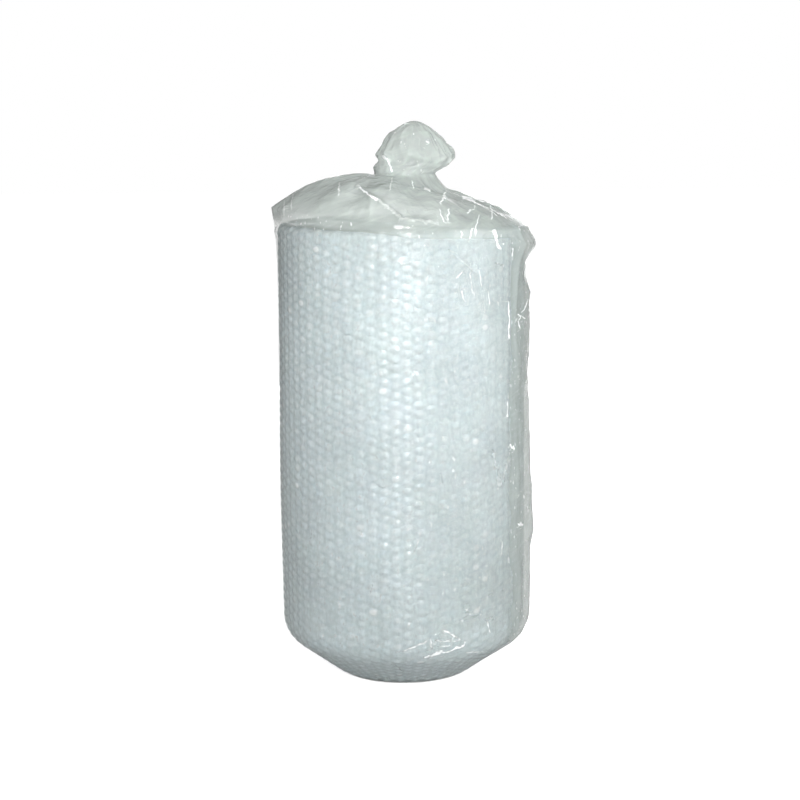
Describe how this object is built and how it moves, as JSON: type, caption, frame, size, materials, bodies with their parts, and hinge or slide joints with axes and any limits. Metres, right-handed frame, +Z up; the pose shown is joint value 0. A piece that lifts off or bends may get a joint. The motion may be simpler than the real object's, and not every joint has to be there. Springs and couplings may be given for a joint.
{
  "type": "bubble wrap roll",
  "caption": "Upright roll of bubble film wound without a core, standing in a clear film bag whose mouth is gathered into a knot.",
  "frame": {"origin": "centre of the flat foot that the bag stands on", "axes": "+Z up the roll's axis to the knot; -Y is the front, +X to the right, where the pleat and the puffed ear are"},
  "size_m": [0.3441, 0.3304, 0.7293],
  "materials": {
    "bubble_film": "gloss",
    "bag_film": "gloss"
  },
  "bodies": {
    "root": {"bubble_roll": "bubble_film", "film_bag": "bag_film"}
  },
  "joints": []
}
